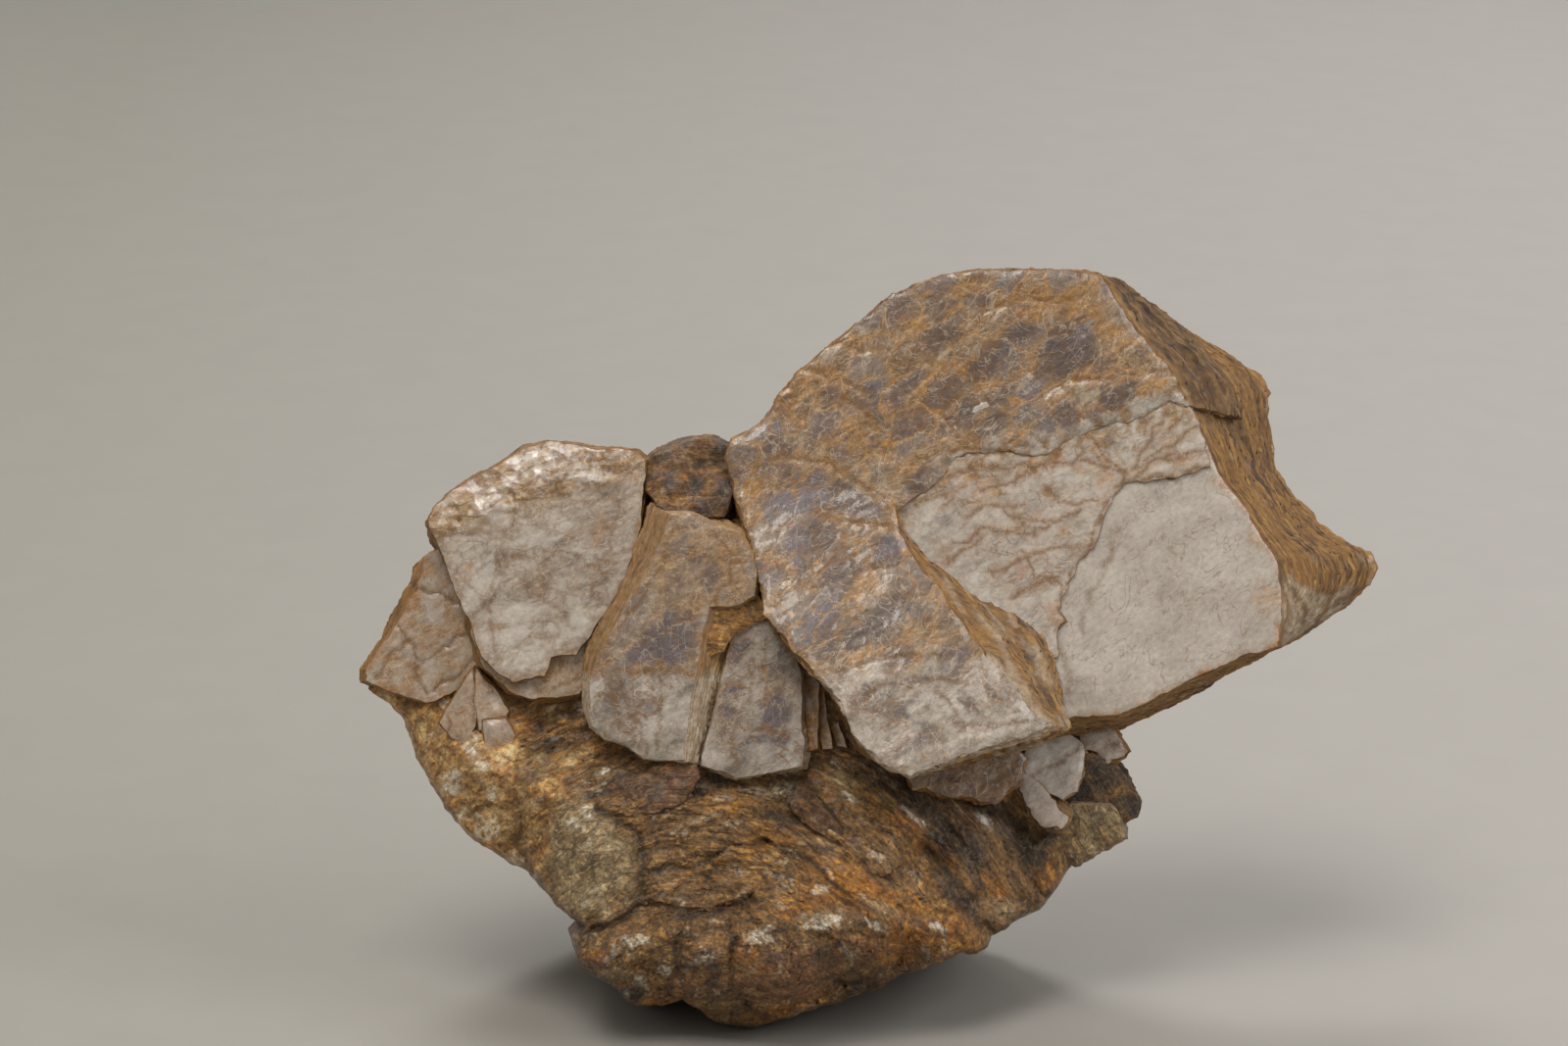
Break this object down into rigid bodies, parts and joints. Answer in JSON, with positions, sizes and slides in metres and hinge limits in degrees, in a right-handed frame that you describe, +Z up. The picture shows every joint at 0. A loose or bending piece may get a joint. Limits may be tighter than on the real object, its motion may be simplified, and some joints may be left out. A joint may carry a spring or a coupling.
{
  "type": "mica crystal specimen",
  "caption": "Cabinet specimen of muscovite mica: leafy tabular crystal books on a fibrous brown mica mass, with a flat base to stand on.",
  "frame": {"origin": "bottom centre of the bounding box, on the flat base the specimen stands on", "axes": "+Z up; +X to the right along the specimen's length, seen from its display side; the display side with the great cleavage faces looks toward -Y and leans back"},
  "size_m": [0.1046, 0.0502, 0.076],
  "materials": {
    "muscovite": "pearly, smoky grey-lilac cleavage faces stained rusty brown along their cracks; matt laminated edges; brown fibrous mass with glints"
  },
  "bodies": {
    "root": {"mica_crystal": "muscovite"}
  },
  "joints": []
}
